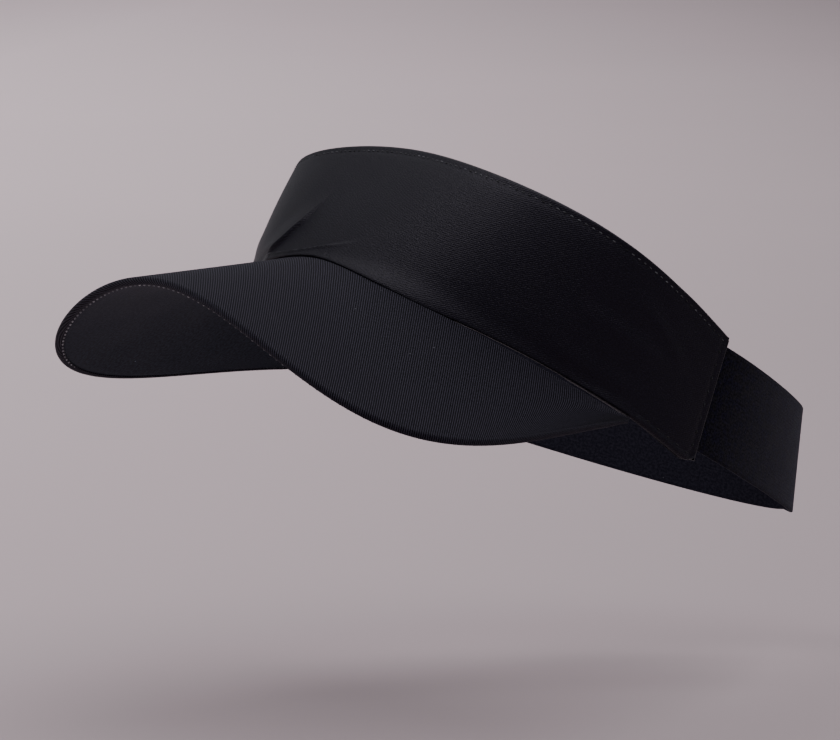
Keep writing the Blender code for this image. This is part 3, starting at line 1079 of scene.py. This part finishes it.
def coverPath(u, width):
    # (out from the edge, depth below the upper face), from the seam to the turned-under leg
    fit = billFit(width)
    radius = bill["rimRadius"] * tipFit(u)
    faceDepth = bill["coverDepth"]
    centre = (radius + bill["coverThick"] / 2.0, faceDepth + radius)
    seamOut = width - mix(0.45, 0.75, ease((abs(u) - 0.3) / 0.5)) * fit
    droop = mix(0.5, 1.5, ease((abs(u) - 0.3) / 0.5)) * tipFit(u) * fit
    path = []
    for i in range(coverSize["curlRows"]):
        part = i / coverSize["curlRows"]
        path.append((seamOut - 1.5 * fit * part ** 1.6, faceDepth + droop * (1.0 - part) ** 2))
    firstOut = seamOut - 1.5 * fit
    for i in range(coverSize["faceRows"]):
        part = i / coverSize["faceRows"]
        out = mix(firstOut, centre[0], part ** 0.9)
        dip = bill["grooveDepth"] * bell(out - bill["grooveIn"], 0.6) * ease((fit - 0.5) / 0.4)
        path.append((out, faceDepth + dip))
    for i in range(coverSize["arcRows"] + 1):
        a = math.radians(mix(-90.0, -270.0, i / coverSize["arcRows"]))
        path.append((centre[0] + radius * math.cos(a), centre[1] + radius * math.sin(a)))
    legDepth = faceDepth + 2.0 * radius
    for i in range(1, coverSize["legRows"]):
        part = i / (coverSize["legRows"] - 1)
        path.append((centre[0] + bill["rimLeg"] * fit * part, legDepth))
    return path


coverColumns = {}


def coverColumn(u):
    # one column of the cover with its places on the flat cloth
    key = round(u, 6)
    if key not in coverColumns:
        billU = mix(-bill["tip"], bill["tip"], u)
        ribFrame = billFrame(billU)
        path = coverPath(billU, ribFrame[2])
        points = [billPointIn(ribFrame, out, depth) for out, depth in path]
        coverColumns[key] = points
    return coverColumns[key]


def coverAt(u, w):
    return coverColumn(u)[round(w * (coverRows - 1))]


def clothRun(columns, rowCount, column):
    # sideways length of every row from the middle, and the front-to-back place, for a straight grain
    middle = columns // 2
    places = {}
    for j in range(rowCount):
        run = 0.0
        for i in range(middle, columns + 1):
            if i > middle:
                a, b = column((i - 1) / columns)[j], column(i / columns)[j]
                run += math.hypot(b.x - a.x, b.z - a.z)
            places[i, j] = (run, column(i / columns)[j].y)
            places[columns - i, j] = (-run, column(i / columns)[j].y)
    return places


firstRim = coverSize["curlRows"] + coverSize["faceRows"]
coverPlaces = clothRun(coverSize["columns"], coverRows, coverColumn)
for i in range(coverSize["columns"] + 1):
    points = coverColumn(i / coverSize["columns"])
    edgeIn, edgeOut = coverPlaces[i, firstRim - 4], coverPlaces[i, firstRim]
    heading = Vector((edgeOut[0] - edgeIn[0], edgeOut[1] - edgeIn[1])).normalized()
    gone = 0.0
    for j in range(firstRim + 1, coverRows):
        gone += (points[j] - points[j - 1]).length
        coverPlaces[i, j] = (edgeOut[0] + heading.x * gone, edgeOut[1] + heading.y * gone)


def coverWeave(u, w):
    return coverPlaces[round(u * coverSize["columns"]), round(w * (coverRows - 1))]


billCover = laySheet(
    "billCover", coverSize["columns"], coverRows - 1, coverAt, bill["coverThick"], coverWeave)
dress(billCover, twill, "bill_twill", "visor", "bill_upper_cover", "bill_rim")

underSize = {"columns": 260, "rows": 36, "seamGap": 0.9, "rimGap": 0.12}


def underColumn(u):
    billU = mix(-bill["tip"] + 0.01, bill["tip"] - 0.01, u)
    ribFrame = billFrame(billU)
    fit = billFit(ribFrame[2])
    near = bill["rimRadius"] * tipFit(billU) + bill["coverThick"] / 2.0 + bill["rimLeg"] * fit
    near += underSize["rimGap"]
    far = ribFrame[2] - underSize["seamGap"] * fit
    depth = bill["coverDepth"] + 2.0 * bill["rimRadius"] * tipFit(billU)
    points = []
    for j in range(underSize["rows"] + 1):
        out = mix(near, far, j / underSize["rows"])
        tuck = 0.25 * (1.0 - ease((out - near) / 1.2))
        points.append(billPointIn(ribFrame, out, depth - tuck))
    return points


underColumns = [underColumn(i / underSize["columns"]) for i in range(underSize["columns"] + 1)]
underPlaces = clothRun(
    underSize["columns"], underSize["rows"] + 1, lambda u: underColumns[round(u * underSize["columns"])])


def underAt(u, w):
    return underColumns[round(u * underSize["columns"])][round(w * underSize["rows"])]


def underWeave(u, w):
    return underPlaces[round(u * underSize["columns"]), round(w * underSize["rows"])]


billUnder = laySheet(
    "billUnderCover", underSize["columns"], underSize["rows"], underAt, bill["coverThick"] * 0.9, underWeave)
dress(billUnder, underCloth, "lining_cloth", "visor", "bill_under_cover")
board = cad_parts["bill_board"]
board.data.materials.clear()
board.data.materials.append(boardFinish())
print("bill covered")

# strap: one length of elastic from pocket to pocket
strapGrid = {"columns": 240, "rows": 24, "tabShare": 0.07, "headMiddle": 20.0}


def strapAt(u, w):
    run = 2.0 * u - 1.0
    side = 1 if run >= 0.0 else -1
    reach = abs(run)
    share = 1.0 - strapGrid["tabShare"]
    s = 1.0 - reach / share if reach < share else -(reach - share) / strapGrid["tabShare"]
    return strapPoint(s, w, side)


strap = laySheet(
    "strap", strapGrid["columns"], strapGrid["rows"], strapAt, strapShape["thick"], soften=0.3, sharp=60.0)
# the face towards the head is marked and painted lighter: painted fill light
inside = strap.data.attributes.new("inside", "FLOAT", "FACE")
headMiddle = toRow(Vector((0.0, strapGrid["headMiddle"], 0.0)))
for face in strap.data.polygons:
    inside.data[face.index].value = 1.0 if face.normal.dot(headMiddle - face.center) > 0.0 else 0.0
dress(strap, elastic, "strap_elastic", None, "strap_leg_left", "strap_back", "strap_leg_right")
bandEnd = strapPoint(0.0, 0.5, 1)
splitAt = strapPoint(strapShape["split"], 0.5, 1)
toRow(Vector((0.0, bandEnd.y + 1.0, bandEnd.z)))
toRow(Vector((0.0, splitAt.y, bandEnd.z)))
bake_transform(strap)
print("strap made")

# sewing: one stitch is modelled, then copied along each row
stitchSize = {"length": 1.35, "radius": 0.2, "dip": 0.16, "sidePitch": 3.6}
# the bill's edge row; its places run from -1 at the right corner to 1 at the left one
edgeStitch = {
    "length": 0.85,
    "radius": 0.30,
    "dip": 0.12,
    "pitch": 2.6,
    "rise": 0.06,  # below the rolled edge
    "sunk": -0.50,  # the same towards both corners
    "sunkFrom": 0.56,
    "sinkSpan": 0.10,
    "leftRise": 0.16,  # added left of the middle
    "leftIn": 0.25,  # in from the rolled edge's lowest line
    "rightIn": 0.80,
}


def makeStitch(name, length, radius, dip, material):
    clearPick()
    bpy.ops.mesh.primitive_uv_sphere_add(
        segments=8, ring_count=8, radius=1.0, rotation=(0.0, math.radians(90.0), 0.0))
    stitch = bpy.context.object
    stitch.name = name
    bpy.ops.object.transform_apply(rotation=True)
    stitch.scale = (length / 2.0, radius, radius)
    bpy.ops.object.transform_apply(scale=True)
    # the ends go down into the needle holes
    bpy.ops.object.mode_set(mode="EDIT")
    bpy.ops.mesh.select_all(action="DESELECT")
    shape = bmesh.from_edit_mesh(stitch.data)
    for vert in shape.verts:
        vert.select = abs(vert.co.x) > 0.33 * length
    shape.select_flush(True)
    bmesh.update_edit_mesh(stitch.data)
    bpy.ops.transform.translate(value=(0.0, 0.0, -dip))
    bpy.ops.object.mode_set(mode="OBJECT")
    for layer in list(stitch.data.uv_layers):
        stitch.data.uv_layers.remove(layer)
    layer = stitch.data.uv_layers.new(name="weave")
    for corner in stitch.data.loops:
        co = stitch.data.vertices[corner.vertex_index].co
        layer.data[corner.index].uv = (co.x, co.y * 2.0 + co.z)
    stitch.data.materials.append(material)
    bpy.ops.object.shade_smooth()
    return stitch


def sewRow(name, model, line, pitch):
    # line is a list of (place, outward) in mm; a stitch is set every pitch
    lengths = [0.0]
    for (a, _), (b, _) in zip(line, line[1:]):
        lengths.append(lengths[-1] + (b - a).length)
    count = int(lengths[-1] / pitch)
    copies = []
    k = 0
    for n in range(count):
        gone = (n + 0.5) * lengths[-1] / count
        while lengths[k + 1] < gone:
            k += 1
        part = (gone - lengths[k]) / (lengths[k + 1] - lengths[k])
        place = line[k][0].lerp(line[k + 1][0], part)
        out = line[k][1].lerp(line[k + 1][1], part).normalized()
        ahead = (line[k + 1][0] - line[k][0]).normalized()
        side = out.cross(ahead).normalized()
        out = ahead.cross(side).normalized()
        wobble = noise.noise(Vector((n * 0.77, len(name) * 1.3, 0.0)))
        turn = Matrix.Rotation(0.16 * wobble, 3, out)
        ahead, side = turn @ ahead, turn @ side
        size = 1.0 + 0.12 * noise.noise(Vector((n * 1.9, len(name) * 0.7, 4.0)))
        mesh = model.data.copy()
        # each stitch's weave place is shifted, so its pattern and painted highlight differ from its neighbours'
        for place2d in mesh.uv_layers["weave"].data:
            place2d.uv.x += 17.0 * n
        basis = Matrix((ahead * size, side, out)).transposed().to_4x4()
        mesh.transform(Matrix.Translation(place) @ basis)
        mesh.transform(Matrix.Diagonal((0.001, 0.001, 0.001, 1.0)) @ tipBack.to_4x4())
        copy = bpy.data.objects.new(name, mesh)
        bpy.context.scene.collection.objects.link(copy)
        copies.append(copy)
    return joinAll(copies, name)


def crownLine(angles, zAt, depth):
    line = []
    for angle in angles:
        z = zAt(angle)
        place = crownPoint(angle, z, depth + panelDent(angle, z))
        line.append((place, -crownInward(angle, z)))
    return line


def span(start, end, steps):
    return [mix(start, end, i / steps) for i in range(steps + 1)]


dark = makeStitch("darkStitch", stitchSize["length"], stitchSize["radius"], stitchSize["dip"], darkThread)
dots = makeStitch("paleStitch", edgeStitch["length"], edgeStitch["radius"], edgeStitch["dip"], paleThread)

topEnd = band["endAngle"] - 1.0
topRow = sewRow("stitchesTop", dark,
                crownLine(span(-topEnd, topEnd, 400), lambda a: topAt(a) - panel["topStitchDrop"], -0.10),
                panel["stitchPitch"])
dress(topRow, edgeThread, "dark_thread", "visor", "thread_top_edge")

for side, word in ((1, "left"), (-1, "right")):
    endAngle = side * (band["endAngle"] - panel["endStitchInset"])
    endLine = []
    for w in span(0.0, 1.0, 60):
        z = mix(
            lowAt(endAngle) + panel["hemStitchRise"] + 1.2, topAt(endAngle) - panel["topStitchDrop"] - 1.6, w)
        endLine.append((crownPoint(endAngle, z, -0.10 + panelDent(endAngle, z)), -crownInward(endAngle, z)))
    row = sewRow("stitchesEnd" + word.capitalize(), dark, endLine, stitchSize["sidePitch"])
    dress(row, darkThread, "dark_thread", "visor", "thread_end_" + word)
    hemAngles = [side * a for a in span(band["seamCornerAngle"] + 1.5, band["endAngle"] - 1.6, 60)]
    hemLine = crownLine(hemAngles, lambda a: lowAt(a) + panel["hemStitchRise"], -0.10)
    row = sewRow("stitchesHem" + word.capitalize(), dark, hemLine, stitchSize["sidePitch"])
    dress(row, darkThread, "dark_thread", "visor", "thread_hem_" + word)

sweatEnd = sweat["angle"] - 2.0
sweatLine = []
for angle in span(-sweatEnd, sweatEnd, 300):
    z = sweatTop(angle) - 3.0
    depth = sweat["depth"] + sweat["bindingRadius"] + sweat["bindingThick"] / 2.0 + 0.12
    sweatLine.append((crownPoint(angle, z, depth), crownInward(angle, z)))
sweatRow = sewRow("stitchesSweatband", dark, sweatLine, 2.6)
dress(sweatRow, darkThread, "dark_thread", "visor", "thread_sweatband")

edgeLine = []
for u in span(-0.955, 0.955, 400):
    ribFrame = billFrame(u)
    fit = tipFit(u)
    radius = bill["rimRadius"] * fit
    # the row sinks into the cloth towards both corners, and stands proud on the left
    shown = ease((edgeStitch["sunkFrom"] - abs(u)) / edgeStitch["sinkSpan"])
    rise = mix(edgeStitch["sunk"], edgeStitch["rise"], shown) + edgeStitch["leftRise"] * ease((u + 0.05) / 0.15)
    out = radius + bill["coverThick"] / 2.0
    out += mix(edgeStitch["rightIn"], edgeStitch["leftIn"], ease((u + 0.2) / 0.25)) * fit
    below = bill["coverDepth"] + 2.0 * radius + bill["coverThick"] / 2.0 + rise
    place = billPointIn(ribFrame, out, below)
    edgeLine.append((place, (place - billPointIn(ribFrame, out, below - 1.0)).normalized()))
edgeRow = sewRow("stitchesBillEdge", dots, edgeLine, edgeStitch["pitch"])
dress(edgeRow, paleThread, "pale_thread", "visor", "thread_bill_edge")
for model in (dark, dots):
    bpy.data.objects.remove(model)
print("rows sewn")
